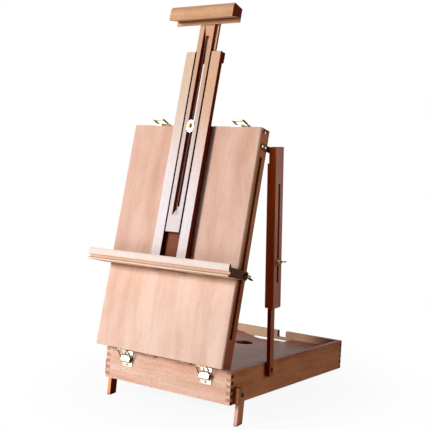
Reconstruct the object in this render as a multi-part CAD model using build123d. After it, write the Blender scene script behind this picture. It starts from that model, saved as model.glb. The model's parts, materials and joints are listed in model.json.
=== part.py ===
from build123d import *

import math
import os

# Table-top box easel: a finger-jointed tray on two folding legs, a hinged lid that stands up as the
# easel board, and a sliding mast, ledge and top clamp. Millimetres, +Z up, front towards -Y.
# Three working frames are used:
#   tray frame    x across, y from the front wall to the back wall, z up from the tray's underside
#   lid frame     x across, v from the hinged end to the free end, t from the seam to the board face
#   latch frame   x across, y out of the wall that carries the latch, z away from the seam

# ---------------------------------------------------------------- tray
width = 320.0
depth = 476.0
tray_height = 66.0
wall = 10.0
tray_fingers = 10
bottom_thickness = 4.0
edge_round = 0.8
fit_gap = 0.3
flat_gap = 0.1

hand_hole_width = 176.0
hand_hole_bottom = 19.0
hand_hole_top = 43.7
notch_width = 23.0
notch_depth = 16.0
notch_round = 3.0

palette_thickness = 4.3
palette_top = 47.3
palette_side_gap = 0.6
palette_cut = (
    (-112, 0),
    (-93, 11),
    (-73.6, 21),
    (-52.6, 34),
    (-36, 40),
    (-14, 36),
    (4, 31),
    (24, 30),
    (28, 0),
)
thumb_hole_x = -37.0
thumb_hole_back = 115.0
thumb_hole_long = 23.5
thumb_hole_short = 21.0
thumb_hole_turn = 0.0
strip_width = 7.0
strip_height = 9.0
divider_thickness = 5.0
long_divider_x = 62.0
cross_divider_y = 300.0

# ---------------------------------------------------------------- lid
frame_depth = 29.0
panel_thickness = 4.3
lid_fingers = 5
seam = 0.4
hinge_offset = 4.2
lean = 11.6
side_slot_start = 57.0
side_slot_margin = 56.0
side_slot_width = 9.0
side_slot_t = 16.5

hinge_centres = (-45.0, 45.0)
hinge_length = 40.0
hinge_leaf = 1.5
hinge_leaf_reach = 9.0
knuckle_radius = 2.0
hinge_pin_radius = 0.9

# ---------------------------------------------------------------- legs
leg_pivot_y = 31.0
leg_pivot_z = 17.3
leg_width = 19.6
leg_thickness = 8.0
leg_lean = 4.8
foot_drop = 42.0
leg_gap = 0.5
leg_bolt_radius = 3.0
leg_head_radius = 4.7
leg_head_height = 1.2
stop_thickness = 8.0
stop_bottom = 2.0
stop_height = 32.0
stop_width = 12.4

# ---------------------------------------------------------------- struts
strut_foot_y = 132.0
strut_foot_z = 51.7
strut_head_from_end = 36.5
strut_head_t = -16.5
strut_gap = 4.0
channel_width = 30.0
channel_thickness = 20.0
channel_proud = 2.4
channel_tail = 9.0
channel_length = 326.0
channel_round = 3.0
channel_relief = 3.8
channel_relief_length = 33.0
bar_width = 14.4
bar_thickness = 8.2
bar_tail = 14.0
bar_head = 12.0
head_room = 3.8
clamp_from_head = 222.0
strut_slot_start = 64.0
strut_slot_end = 265.0
strut_slot_width = 6.6
strut_bolt_radius = 3.0
strut_head_radius = 4.4
strut_head_height = 1.6
bracket_width = 12.0
bracket_thickness = 2.0
bracket_board_end = 24.0
bracket_pin_end = 7.5
bracket_pin_radius = 2.5
bracket_pin_depth = 8.0
pin_plate_width = 12.0
pin_plate_length = 22.0
pin_plate_thickness = 1.4

# ---------------------------------------------------------------- mast and slider
mast_back = 38.5
rail_inner = 20.9
rail_width = 23.0
rail_thickness = 11.2
rail_bottom = 172.7
rail_top = 631.0
rabbet_width = 4.1
rabbet_depth = 5.2
crosspiece_height = 22.0
lower_crosspiece_lap = 2.0
slider_bottom = 250.0
slider_top = 717.0
slider_half_front = 17.3
slider_half_back = 24.4
slider_flange = 4.7
slider_front_proud = 0.3
groove_half = 7.5
groove_depth = 8.2
groove_bottom = 284.0
groove_top = 690.0
groove_ramp = 40.0
groove_short_ramp = 14.0
slider_slot_half = 3.4
slider_slot_bottom = 303.0
slider_slot_top = 667.0
slider_slot_step = 1.2
slider_slot_ramp = 50.0

clamp_half = 79.5
clamp_depth = 31.6
clamp_bottom = 689.0
clamp_height = 28.4
clamp_front_rise = 1.2
clamp_jaw_rise = 10.5
clamp_rear_wall = 3.0
clamp_chamfer = 7.0
clamp_top_rise = 2.8

mast_bolt_radius = 3.0
mast_bolt_back = 11.0
mast_washer_width = 17.6
mast_washer_length = 27.0
mast_washer_thickness = 1.2
mast_nut_radius = 5.4
mast_nut_height = 6.2
mast_plate_radius = 8.0
mast_plate_thickness = 3.0

# ---------------------------------------------------------------- ledge
ledge_overhang = 17.0
ledge_front = 88.5
ledge_top = 191.0
ledge_bottom = 172.7
lip_height = 5.4
lip_thickness = 4.0
lip_foot = 6.5
front_bulge = 1.2
cove_height = 6.5
nose_height = 3.4
arm_thickness = 7.4
arm_height = 17.0
arm_gap = 0.6
slot_bolt_radius = 3.0
slot_head_radius = 7.0
slot_head_thickness = 3.0
slot_bolt_end = 4.5
washer_radius = 10.0
washer_thickness = 1.4

# ---------------------------------------------------------------- wing nuts
nut_hub_radius = 5.0
nut_hub_height = 6.5
nut_wing_span = 27.0
nut_wing_thickness = 2.2
nut_wing_height = 9.0
ledge_nut_turn = 62.0
strut_nut_turn = 90.0

# ---------------------------------------------------------------- latches
latch_inset = 58.5
latch_plate_width = 27.0
latch_plate_length = 34.0
latch_plate_thickness = 1.2
lever_width = 24.4
lever_start = 9.0
lever_length = 14.0
lever_out = 9.4
lever_wall = 1.0
lever_nose = 5.6
lever_slope = 7.7
lever_round = 0.8
lever_lift = 0.7
lever_axis_out = 4.0
lever_axis_in = 11.2
lever_pin_radius = 0.9
latch_ear_half = 9.0
latch_ear_thickness = 1.0
latch_ear_reach = 1.3
latch_ear_slot = 5.0
bail_axis_out = 4.6
bail_axis_in = 18.5
bail_length = 28.0
bail_wire = 0.9
bail_half = 13.4
bail_bar = 1.4
claw_length = 8.0
claw_thickness = 1.0
claw_half = 12.0
front_bail_lean = 31.0
rear_lever_open = 147.0
rear_bail_rise = 12.0
catch_half = 9.0
catch_start = 4.0
catch_length = 10.0
catch_thickness = 1.0
hook_start = 5.7
hook_thickness = 1.6
hook_out = 6.0
screw_inset = 4.6
screw_side = 6.0
screw_radius = 1.9
screw_height = 0.8

# ---------------------------------------------------------------- values worked out from the above
half = width / 2
latch_centres = (latch_inset - half, half - latch_inset)
ledge_half = half + ledge_overhang
lid_thickness = frame_depth + panel_thickness
open_angle = 90 - lean
board_face = lid_thickness
side_slot_end = depth - side_slot_margin
strut_head_v = depth - strut_head_from_end
mast_front = mast_back + rail_thickness
slider_face = mast_front + slider_front_proud
rail_outer = rail_inner + rail_width
board_clear = board_face + fit_gap
mast_bolt_v = depth - wall / 2
slot_bolt_v = ledge_bottom + arm_height / 2 + 1.4
foot_reach = foot_drop + leg_pivot_z
foot_y = leg_pivot_y - foot_reach * math.tan(math.radians(leg_lean))
tilt = math.degrees(math.atan2(foot_drop, depth - foot_y))
bar_inner = half + strut_gap
bar_outer = bar_inner + bar_thickness
channel_inner = bar_inner - channel_proud
channel_outer = channel_inner + channel_thickness
channel_floor = bar_outer + head_room

tray = Pos(0, depth, 0) * Rot(-tilt, 0, 0) * Pos(0, -depth, 0)
hinge_point = (0, -hinge_offset, tray_height + seam / 2)
lid = tray * Pos(*hinge_point) * Rot(open_angle, 0, 0) * Pos(0, hinge_offset, seam / 2)


def slab(x0, x1, y0, y1, z0, z1):
    """A block between two corners."""
    return Pos((x0 + x1) / 2, (y0 + y1) / 2, (z0 + z1) / 2) * Box(x1 - x0, y1 - y0, z1 - z0)


def rod_x(radius, x0, x1, y, z):
    """A cylinder along X between x0 and x1."""
    return Pos((x0 + x1) / 2, y, z) * Rot(0, 90, 0) * Cylinder(radius, abs(x1 - x0))


def rod_z(radius, z0, z1, x, y):
    """A cylinder along Z between z0 and z1."""
    return Pos(x, y, (z0 + z1) / 2) * Cylinder(radius, abs(z1 - z0))


def along_x(points, x0, x1):
    """A straight-sided outline of (y, z) points, run from x0 to x1."""
    face = make_face(Polyline([(0, y, z) for y, z in points], close=True))
    return extrude(Pos(x0, 0, 0) * face, x1 - x0, dir=(1, 0, 0))


def soften(solid, axis, radius):
    """Round the edges that run along one axis."""
    return fillet(solid.edges().filter_by(axis), radius)


def both_sides(solid):
    """A piece and its mirror image across the middle plane."""
    return [solid, mirror(solid, Plane.YZ)]


def group(solids):
    """Separate solids kept in one node."""
    return Compound(list(solids))


def finger_spans(count, height, odd):
    """The z spans of every second finger, counted down from the top."""
    pitch = height / count
    first = 1 if odd else 0
    return [(height - (k + 1) * pitch, height - k * pitch) for k in range(first, count, 2)]


def end_board(count, height, y0, own_odd):
    """A wall across the box with fingers at both ends."""
    board = slab(-half, half, y0, y0 + wall, 0, height)
    for z0, z1 in finger_spans(count, height, not own_odd):
        for x0 in (-half, half - wall):
            board -= slab(x0, x0 + wall, y0, y0 + wall, z0, z1)
    return board


def side_board(count, height, own_odd):
    """The right-hand wall along the box with fingers at both ends."""
    board = slab(half - wall, half, 0, depth, 0, height)
    for z0, z1 in finger_spans(count, height, not own_odd):
        for y0 in (0, depth - wall):
            board -= slab(half - wall, half, y0, y0 + wall, z0, z1)
    return board


parts = {}


# ---------------------------------------------------------------- tray pieces
def leaf_pocket(y0, z0):
    """The shallow pockets that the hinge leaves lie in."""
    reach = hinge_leaf_reach + flat_gap
    return [
        slab(
            x - hinge_length / 2 - flat_gap,
            x + hinge_length / 2 + flat_gap,
            y0,
            y0 + reach,
            z0,
            z0 + hinge_leaf,
        )
        for x in hinge_centres
    ]


def build_tray():
    front = end_board(tray_fingers, tray_height, 0, own_odd=True)
    for pocket in leaf_pocket(0, tray_height - hinge_leaf):
        front -= pocket
    back = end_board(tray_fingers, tray_height, depth - wall, own_odd=True)
    hole_height = hand_hole_top - hand_hole_bottom
    hole_half = hand_hole_width / 2
    hole = slab(-hole_half, hole_half, depth - wall - 1, depth + 1, hand_hole_bottom, hand_hole_top)
    hole = soften(hole, Axis.Y, hole_height / 2 - flat_gap)
    notch = slab(
        -notch_width / 2,
        notch_width / 2,
        depth - wall - 1,
        depth + 1,
        tray_height - notch_depth,
        tray_height + notch_depth,
    )
    back = back - hole - soften(notch, Axis.Y, notch_round)
    side = side_board(tray_fingers, tray_height, own_odd=False)
    right, left = both_sides(side)
    parts["tray_front_wall"] = tray * front
    parts["tray_back_wall"] = tray * back
    parts["tray_right_wall"] = tray * right
    parts["tray_left_wall"] = tray * left
    inside = half - wall
    parts["tray_bottom"] = tray * slab(-inside, inside, wall, depth - wall, 0, bottom_thickness)
    strip_top = palette_top - palette_thickness
    strip = slab(inside - strip_width, inside, wall, depth - wall, strip_top - strip_height, strip_top)
    parts["palette_strips"] = tray * group(both_sides(strip))
    divider_top = strip_top - strip_height
    long_divider = slab(
        long_divider_x,
        long_divider_x + divider_thickness,
        wall,
        depth - wall,
        bottom_thickness,
        divider_top,
    )
    cross_divider = slab(
        -inside,
        long_divider_x,
        cross_divider_y,
        cross_divider_y + divider_thickness,
        bottom_thickness,
        divider_top,
    )
    parts["tray_dividers"] = tray * group([long_divider, cross_divider])


def build_palette():
    inside = half - wall - palette_side_gap
    front, back = wall + palette_side_gap, depth - wall - palette_side_gap
    bottom = palette_top - palette_thickness
    edge = [(x, back - drop) for x, drop in palette_cut]
    (left, _), (right, _) = edge[0], edge[-1]
    outline = Curve() + [
        Line((left, back + 1), edge[0]),
        Spline(edge[:-1]),
        Line(edge[-2], edge[-1]),
        Line(edge[-1], (right, back + 1)),
        Line((right, back + 1), (left, back + 1)),
    ]
    cut = extrude(Pos(0, 0, bottom - 1) * make_face(outline), palette_thickness + 2)
    thumb = extrude(
        Pos(thumb_hole_x, back - thumb_hole_back, bottom - 1)
        * Rot(0, 0, thumb_hole_turn)
        * Ellipse(thumb_hole_long, thumb_hole_short),
        palette_thickness + 2,
    )
    board = soften(slab(-inside, inside, front, back, bottom, palette_top), Axis.Z, 2.0)
    parts["palette"] = tray * (board - cut - thumb)


def build_legs():
    inner = half + leg_gap
    outer = inner + leg_thickness
    axis = (leg_pivot_y, leg_pivot_z)
    shank = slab(inner, outer, -leg_width / 2, leg_width / 2, -foot_reach * 1.4, 0)
    head = rod_x(leg_width / 2, inner, outer, 0, 0)
    leg = Pos(0, *axis) * Rot(-leg_lean, 0, 0) * (shank + head)
    leg -= rod_x(leg_bolt_radius + fit_gap, inner - 1, outer + 1, *axis)
    ground = Pos(0, depth, 0) * Rot(tilt, 0, 0) * slab(0, width, -2 * depth, depth, -depth, 0)
    leg = leg - ground
    right, left = both_sides(leg)
    parts["right_leg"] = tray * right
    parts["left_leg"] = tray * left
    slope = math.radians(leg_lean)
    reach = leg_width / 2 / math.cos(slope) + (leg_pivot_z - stop_bottom) * math.tan(slope)
    stop_back = leg_pivot_y - reach - flat_gap
    stop = slab(
        half,
        half + stop_width,
        stop_back - stop_thickness,
        stop_back,
        stop_bottom,
        stop_bottom + stop_height,
    )
    parts["leg_stops"] = tray * group(both_sides(soften(stop, Axis.X, edge_round)))
    bolt = rod_x(leg_bolt_radius, half, outer + flat_gap, *axis)
    bolt += rod_x(leg_head_radius, outer + flat_gap, outer + flat_gap + leg_head_height, *axis)
    parts["leg_bolts"] = tray * group(both_sides(bolt))


# ---------------------------------------------------------------- lid pieces
def build_lid():
    ends = []
    for v0 in (0, depth - wall):
        ends.append(end_board(lid_fingers, frame_depth, v0, own_odd=True))
    hinged, free = ends
    for pocket in leaf_pocket(0, 0):
        hinged -= pocket
    free -= rod_z(mast_bolt_radius + flat_gap, -1, frame_depth + 1, 0, mast_bolt_v)
    side = side_board(lid_fingers, frame_depth, own_odd=False)
    slot_z0 = side_slot_t - side_slot_width / 2
    slot_z1 = slot_z0 + side_slot_width
    slot = slab(half - wall - 1, half + 1, side_slot_start, side_slot_end, slot_z0, slot_z1)
    side -= soften(slot, Axis.X, side_slot_width / 2 - flat_gap)
    right, left = both_sides(side)
    panel = slab(-half, half, 0, depth, frame_depth, lid_thickness)
    panel = fillet(panel.edges().filter_by(Axis.Z), 2.0)
    panel = fillet(panel.faces().sort_by(Axis.Z)[-1].edges(), edge_round)
    panel -= rod_z(mast_bolt_radius + flat_gap, frame_depth - 1, lid_thickness + 1, 0, mast_bolt_v)
    parts["lid_hinged_end"] = lid * hinged
    parts["lid_free_end"] = lid * free
    parts["lid_right_wall"] = lid * right
    parts["lid_left_wall"] = lid * left
    parts["lid_panel"] = lid * panel


def build_hinges():
    """Two butt hinges: leaves let into the rim and the lid's end, knuckles out in front."""
    third = hinge_length / 3
    knuckle_room = 2 * knuckle_radius
    axis_y, axis_z = -hinge_offset, tray_height + seam / 2
    tray_leaves, lid_leaves, pins = [], [], []
    for x in hinge_centres:
        x0, x1 = x - hinge_length / 2, x + hinge_length / 2
        z0, z1 = tray_height - knuckle_room, tray_height + knuckle_room
        middle = slab(x0 + third, x1 - third, -2 * hinge_offset, -fit_gap, z0, z1)
        leaf = slab(x0, x1, axis_y, hinge_leaf_reach, tray_height - hinge_leaf, tray_height)
        barrel = rod_x(knuckle_radius, x0, x1, axis_y, axis_z)
        bore = rod_x(hinge_pin_radius, x0, x1, axis_y, axis_z)
        knuckle_clear = rod_x(knuckle_radius + fit_gap, x0 + third, x1 - third, axis_y, axis_z)
        tray_leaves.append(leaf + barrel - middle - knuckle_clear - bore)
        lid_leaf = slab(x0, x1, -hinge_offset, hinge_leaf_reach, 0, hinge_leaf)
        barrel_x0, barrel_x1 = x0 + third + fit_gap, x1 - third - fit_gap
        lid_barrel = rod_x(knuckle_radius, barrel_x0, barrel_x1, -hinge_offset, -seam / 2)
        ends_clear = [
            slab(a, b, -2 * hinge_offset, -fit_gap, -knuckle_room, knuckle_room)
            for a, b in ((x0, x0 + third), (x1 - third, x1))
        ]
        lid_bore = rod_x(hinge_pin_radius + flat_gap, x0, x1, -hinge_offset, -seam / 2)
        piece = lid_leaf + lid_barrel
        for clear in ends_clear:
            piece -= clear
        lid_leaves.append(piece - lid_bore)
        pins.append(rod_x(hinge_pin_radius, x0, x1, axis_y, axis_z))
    parts["hinge_tray_leaves"] = tray * group(tray_leaves)
    parts["hinge_lid_leaves"] = lid * group(lid_leaves)
    parts["hinge_pins"] = tray * group(pins)


# ---------------------------------------------------------------- struts
def tray_point(v, t):
    """Where a lid point (v, t) lies in the tray frame when the easel is open."""
    turn = math.radians(open_angle)
    dv, dt = v + hinge_offset, t + seam / 2
    y = -hinge_offset + dv * math.cos(turn) - dt * math.sin(turn)
    z = tray_height + seam / 2 + dv * math.sin(turn) + dt * math.cos(turn)
    return y, z


strut_head = tray_point(strut_head_v, strut_head_t)
strut_rise = (strut_head[0] - strut_foot_y, strut_head[1] - strut_foot_z)
strut_span = math.hypot(*strut_rise)
strut_angle = math.degrees(math.atan2(strut_rise[1], strut_rise[0]))
clamp_reach = strut_span - clamp_from_head
# the strut frame has its origin at the foot pivot and +y towards the head pivot
strut_frame = tray * Pos(0, strut_foot_y, strut_foot_z) * Rot(strut_angle, 0, 0)


def build_struts():
    cavity = bar_width / 2 + fit_gap
    bar = slab(bar_inner, bar_outer, -bar_tail, clamp_reach + bar_head, -bar_width / 2, bar_width / 2)
    bar = soften(bar, Axis.X, 2.0)
    bar -= rod_x(strut_bolt_radius + fit_gap, bar_inner - 1, bar_outer + 1, 0, 0)
    bar -= rod_x(strut_bolt_radius, bar_inner - 1, bar_outer + 1, clamp_reach, 0)
    top = strut_span + channel_tail
    bottom = top - channel_length
    channel = slab(channel_inner, channel_outer, bottom, top, -channel_width / 2, channel_width / 2)
    channel = fillet(channel.faces().sort_by(Axis.Y)[0].edges().filter_by(Axis.X), channel_round)
    channel = soften(channel, Axis.Y, edge_round)
    cavity_end = strut_span - strut_slot_start + bar_head
    channel -= slab(channel_inner - 1, channel_floor, bottom - 1, cavity_end, -cavity, cavity)
    slot = slab(
        channel_floor - 1,
        channel_outer + 1,
        strut_span - strut_slot_end,
        strut_span - strut_slot_start,
        -strut_slot_width / 2,
        strut_slot_width / 2,
    )
    channel -= soften(slot, Axis.X, strut_slot_width / 2 - flat_gap)
    relief = channel_inner + channel_relief
    channel -= slab(0, relief, top - channel_relief_length, top + 1, -channel_width, channel_width)
    channel -= rod_x(bracket_pin_radius, relief - 1, relief + bracket_pin_depth, strut_span, 0)

    foot = rod_x(strut_bolt_radius, half, bar_outer + flat_gap, 0, 0)
    foot += rod_x(strut_head_radius, half, bar_inner - flat_gap, 0, 0)
    foot += rod_x(strut_head_radius, bar_outer + flat_gap, bar_outer + flat_gap + strut_head_height, 0, 0)

    nut_end = channel_outer + washer_thickness + nut_hub_height
    clamp_bolt = rod_x(strut_bolt_radius, bar_inner, nut_end, clamp_reach, 0)
    washer = rod_x(washer_radius * 0.8, channel_outer, channel_outer + washer_thickness, clamp_reach, 0)
    clamp_bolt += washer

    pin_x0 = half + bracket_thickness + 2 * fit_gap
    pin = rod_x(bracket_pin_radius, pin_x0, relief + bracket_pin_depth, strut_span, 0)
    pin += slab(
        relief - pin_plate_thickness,
        relief,
        strut_span - pin_plate_length + channel_tail,
        strut_span + channel_tail - 1,
        -pin_plate_width / 2,
        pin_plate_width / 2,
    )

    nut = Pos(channel_outer + washer_thickness, clamp_reach, 0) * wing_nut(strut_nut_turn)
    for side, place in (("right", lambda s: s), ("left", lambda s: mirror(s, Plane.YZ))):
        parts[f"{side}_strut_bar"] = strut_frame * place(bar)
        parts[f"{side}_strut_channel"] = strut_frame * place(channel)
        parts[f"{side}_strut_bolt"] = strut_frame * place(clamp_bolt)
        parts[f"{side}_strut_pin"] = strut_frame * place(pin)
        parts[f"{side}_strut_nut"] = strut_frame * place(nut)
    parts["strut_foot_bolts"] = strut_frame * group(both_sides(foot))

    x0 = half + flat_gap
    plate = slab(
        x0,
        x0 + bracket_thickness,
        strut_head_v - bracket_width / 2,
        strut_head_v + bracket_width / 2,
        strut_head_t - bracket_pin_end,
        bracket_board_end,
    )
    plate = soften(plate, Axis.X, bracket_width / 2 - flat_gap)
    hole_radius = bracket_pin_radius + fit_gap
    plate -= rod_x(hole_radius, x0 - 1, x0 + bracket_thickness + 1, strut_head_v, strut_head_t)
    parts["strut_brackets"] = lid * group(both_sides(plate))


def wing_nut(turn):
    """A wing nut standing along +X, with its seat at x = 0, less its thread."""
    hub = rod_x(nut_hub_radius, 0, nut_hub_height, 0, 0)
    reach = nut_wing_span / 2
    outline = [
        (nut_hub_radius * 0.7, 1.5),
        (reach * 0.7, 3.0),
        (reach, nut_wing_height + 1.0),
        (reach * 0.86, nut_wing_height + 3.0),
        (reach * 0.6, nut_wing_height + 1.5),
        (nut_hub_radius * 0.8, nut_hub_height),
    ]
    wing = make_face(Polyline([(x, y, 0) for y, x in outline], close=True))
    wing = extrude(Pos(0, 0, -nut_wing_thickness / 2) * wing, nut_wing_thickness, dir=(0, 0, 1))
    nut = hub + wing + mirror(wing, Plane.XZ)
    nut -= rod_x(strut_bolt_radius + fit_gap, -1, nut_hub_height + 1, 0, 0)
    return Rot(turn, 0, 0) * nut


# ---------------------------------------------------------------- mast, slider and clamp
def build_mast():
    rail = slab(rail_inner, rail_outer, rail_bottom, rail_top, mast_back, mast_front)
    rail = soften(rail, Axis.Y, edge_round)
    rail -= slab(
        rail_inner - 1,
        rail_inner + rabbet_width,
        rail_bottom - 1,
        rail_top + 1,
        mast_back - 1,
        mast_back + rabbet_depth,
    )
    right, left = both_sides(rail)
    parts["right_rail"] = lid * right
    parts["left_rail"] = lid * left
    for name, v0, height in (
        ("upper_crosspiece", rail_top - crosspiece_height, crosspiece_height),
        ("lower_crosspiece", rail_bottom, slider_bottom + lower_crosspiece_lap - rail_bottom),
    ):
        block = slab(-rail_outer, rail_outer, v0, v0 + height, board_clear, mast_back)
        parts[name] = lid * soften(block, Axis.X, edge_round)


def build_slider():
    back = mast_back + fit_gap
    flange_front = back + slider_flange
    body = slab(-slider_half_front, slider_half_front, slider_bottom, slider_top, back, slider_face)
    body = soften(body, Axis.Y, edge_round / 2)
    body += slab(-slider_half_back, slider_half_back, slider_bottom, slider_top, back, flange_front)
    floor = slider_face - groove_depth
    groove = along_x(
        [
            (groove_bottom, slider_face + 0.01),
            (groove_bottom + groove_short_ramp, floor),
            (groove_top - groove_ramp, floor),
            (groove_top, slider_face + 0.01),
        ],
        -groove_half,
        groove_half,
    )
    through_top = slider_slot_top - slider_slot_ramp
    slot_half = slider_slot_half
    slot = slab(-slot_half, slot_half, slider_slot_bottom, through_top, back - 1, slider_face + 1)
    run_out = along_x(
        [
            (through_top - slider_slot_half, slider_face + 1),
            (slider_slot_top, slider_face + 1),
            (slider_slot_top, floor - slider_slot_step),
            (through_top, back),
            (through_top - slider_slot_half, back),
        ],
        -slider_slot_half,
        slider_slot_half,
    )
    body = body - groove - soften(slot, Axis.Z, slider_slot_half - flat_gap) - run_out
    parts["slider"] = lid * body

    t0, t1 = slider_face, slider_face + clamp_depth
    v0, v1 = clamp_bottom, clamp_bottom + clamp_height
    jaw = [
        (v0, t0),
        (v1, t0),
        (v1 + clamp_top_rise, t1 - clamp_chamfer / 2),
        (v1 + clamp_top_rise - clamp_chamfer, t1),
        (v0 + clamp_front_rise, t1),
        (v0 + clamp_jaw_rise, t0 + clamp_rear_wall),
        (v0, t0 + clamp_rear_wall),
    ]
    parts["top_clamp"] = lid * along_x(jaw, -clamp_half, clamp_half)

    seat = slider_face + fit_gap
    nut_base = seat + mast_washer_thickness
    bolt = rod_z(mast_bolt_radius, -mast_bolt_back, nut_base + mast_nut_height, 0, mast_bolt_v)
    bolt += rod_z(mast_plate_radius, -mast_plate_thickness, 0, 0, mast_bolt_v)
    parts["mast_bolt"] = lid * bolt
    plate = slab(
        -mast_washer_width / 2,
        mast_washer_width / 2,
        mast_bolt_v - mast_washer_length / 2,
        mast_bolt_v + mast_washer_length / 2,
        seat,
        nut_base,
    )
    plate = soften(plate, Axis.Z, mast_washer_width / 2 - flat_gap)
    parts["mast_washer"] = lid * (plate - rod_z(mast_bolt_radius, seat - 1, seat + 9, 0, mast_bolt_v))
    nut = rod_z(mast_nut_radius, nut_base, nut_base + mast_nut_height, 0, mast_bolt_v)
    nut = fillet(nut.faces().sort_by(Axis.Z)[-1].edges(), mast_nut_radius * 0.45)
    nut -= rod_z(mast_bolt_radius + fit_gap, nut_base - 1, nut_base + 2 * mast_nut_height, 0, mast_bolt_v)
    parts["mast_nut"] = lid * nut


def build_ledge():
    nose = ledge_bottom + nose_height
    cove_back = ledge_front - 5.6
    lip_top = ledge_top + lip_height
    outline = Curve() + [
        Line((0, ledge_bottom, mast_back), (0, ledge_bottom, ledge_front - 1.5)),
        ThreePointArc(
            (0, ledge_bottom, ledge_front - 1.5),
            (0, ledge_bottom + nose_height / 2, ledge_front + 0.6),
            (0, nose, ledge_front - 1.5),
        ),
        ThreePointArc(
            (0, nose, ledge_front - 1.5),
            (0, nose + cove_height / 2, cove_back),
            (0, nose + cove_height, ledge_front - 1.2),
        ),
        ThreePointArc(
            (0, nose + cove_height, ledge_front - 1.2),
            (0, (nose + cove_height + lip_top) / 2, ledge_front + front_bulge),
            (0, lip_top, ledge_front),
        ),
        Line((0, lip_top, ledge_front), (0, lip_top, ledge_front - lip_thickness)),
        Line((0, lip_top, ledge_front - lip_thickness), (0, ledge_top, ledge_front - lip_foot)),
        Line((0, ledge_top, ledge_front - lip_foot), (0, ledge_top, mast_back)),
        Line((0, ledge_top, mast_back), (0, ledge_bottom, mast_back)),
    ]
    ledge = extrude(Pos(-ledge_half, 0, 0) * make_face(outline), 2 * ledge_half, dir=(1, 0, 0))
    ledge -= slab(-rail_outer, rail_outer, ledge_bottom - 1, ledge_top + 1, mast_back - 1, mast_front)
    slider_clear = slider_face + fit_gap
    ledge -= slab(-rail_inner, rail_inner, ledge_bottom - 1, ledge_top + 1, mast_back - 1, slider_clear)
    parts["ledge"] = lid * ledge

    x0 = half + arm_gap
    x1 = x0 + arm_thickness
    v0 = slot_bolt_v - arm_height / 2
    arm = slab(x0, x1, v0, v0 + arm_height, side_slot_t, mast_back)
    arm += rod_x(arm_height / 2, x0, x1, slot_bolt_v, side_slot_t)
    arm -= rod_x(slot_bolt_radius, x0 - 1, x1 + 1, slot_bolt_v, side_slot_t)
    parts["ledge_arms"] = lid * group(both_sides(arm))
    inside = half - wall
    head_x = inside - fit_gap
    bolt_x1 = x1 + washer_thickness + nut_hub_height + slot_bolt_end
    bolt = rod_x(slot_bolt_radius, head_x, bolt_x1, slot_bolt_v, side_slot_t)
    bolt += rod_x(slot_head_radius, head_x - slot_head_thickness, head_x, slot_bolt_v, side_slot_t)
    bolt += rod_x(washer_radius, x1, x1 + washer_thickness, slot_bolt_v, side_slot_t)
    parts["slot_bolts"] = lid * group(both_sides(bolt))
    nut = Pos(x1 + washer_thickness, slot_bolt_v, side_slot_t) * wing_nut(ledge_nut_turn)
    parts["right_ledge_nut"] = lid * nut
    parts["left_ledge_nut"] = lid * mirror(nut, Plane.YZ)


# ---------------------------------------------------------------- latches
def latch_plate():
    """The fixed plate: a flat strip with two ears for the lever's pin."""
    w = latch_plate_width / 2
    plate = slab(-w, w, 0, latch_plate_thickness, 0.4, latch_plate_length)
    plate = soften(plate, Axis.Y, 1.5)
    ear = slab(
        latch_ear_half - latch_ear_thickness,
        latch_ear_half,
        latch_plate_thickness,
        lever_axis_out + latch_ear_reach,
        lever_axis_in - latch_ear_reach,
        lever_axis_in + latch_ear_reach,
    )
    plate += ear
    plate += mirror(ear, Plane.YZ)
    pin = rod_x(lever_pin_radius, -lever_width / 2, lever_width / 2, lever_axis_out, lever_axis_in)
    return plate + pin


def latch_lever():
    """The lever: an open-backed cover that turns on the plate's pin and carries the bail."""
    w = lever_width / 2
    z0, z1 = lever_start, lever_start + lever_length
    y0 = latch_plate_thickness + lever_lift
    slope_end = z0 + lever_slope
    outline = [(y0, z0), (lever_nose, z0), (lever_out, slope_end), (lever_out, z1), (y0, z1)]
    cover = along_x(outline, -w, w)
    cover = soften(cover, Axis.X, lever_round)
    inner = [
        (0, z0 - 1),
        (lever_nose - lever_wall, z0 - 1),
        (lever_nose - lever_wall, z0),
        (lever_out - lever_wall, slope_end),
        (lever_out - lever_wall, z1 - lever_wall),
        (0, z1 - lever_wall),
    ]
    cover -= along_x(inner, -w + lever_wall, w - lever_wall)
    ear_slot = slab(
        latch_ear_half - latch_ear_thickness - fit_gap,
        latch_ear_half + fit_gap,
        -1,
        lever_out + 1,
        z0 - 1,
        z0 + latch_ear_slot,
    )
    cover = cover - ear_slot - mirror(ear_slot, Plane.YZ)
    cover -= rod_x(lever_pin_radius + fit_gap, -w - 1, w + 1, lever_axis_out, lever_axis_in)
    cover -= rod_x(bail_wire + fit_gap, -w - 1, w + 1, bail_axis_out, bail_axis_in)
    return cover


def latch_bail():
    """The bail: two wires hooked into the lever's cheeks, joined by a bar with a claw strip."""
    w = lever_width / 2
    y, z = bail_axis_out, bail_axis_in
    tip = z - bail_length
    wire = Pos(bail_half, y, (z + tip) / 2) * Cylinder(bail_wire, bail_length + 2 * bail_wire)
    stub = rod_x(bail_wire, w - lever_wall - 0.6, bail_half, y, z)
    bail = wire + stub
    bail += mirror(bail, Plane.YZ)
    bail += rod_x(bail_bar, -bail_half - bail_wire, bail_half + bail_wire, y, tip)
    claw_y = y + bail_bar
    claw_z = tip - bail_bar
    bail += slab(-claw_half, claw_half, claw_y - 0.3, claw_y + claw_thickness, claw_z, claw_z + claw_length)
    return bail


def latch_catch():
    """The catch across the seam: a plate with a hook that the bail's bar drops behind."""
    plate = slab(-catch_half, catch_half, 0, catch_thickness, -catch_start - catch_length, -catch_start)
    hook = slab(-catch_half, catch_half, 0, hook_out, -hook_start - hook_thickness, -hook_start)
    return soften(plate, Axis.Y, 1.5) + hook


def turned(solid, y, z, angle):
    """A piece turned about an axis along X through (y, z)."""
    return Pos(0, y, z) * Rot(angle, 0, 0) * Pos(0, -y, -z) * solid


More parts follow.
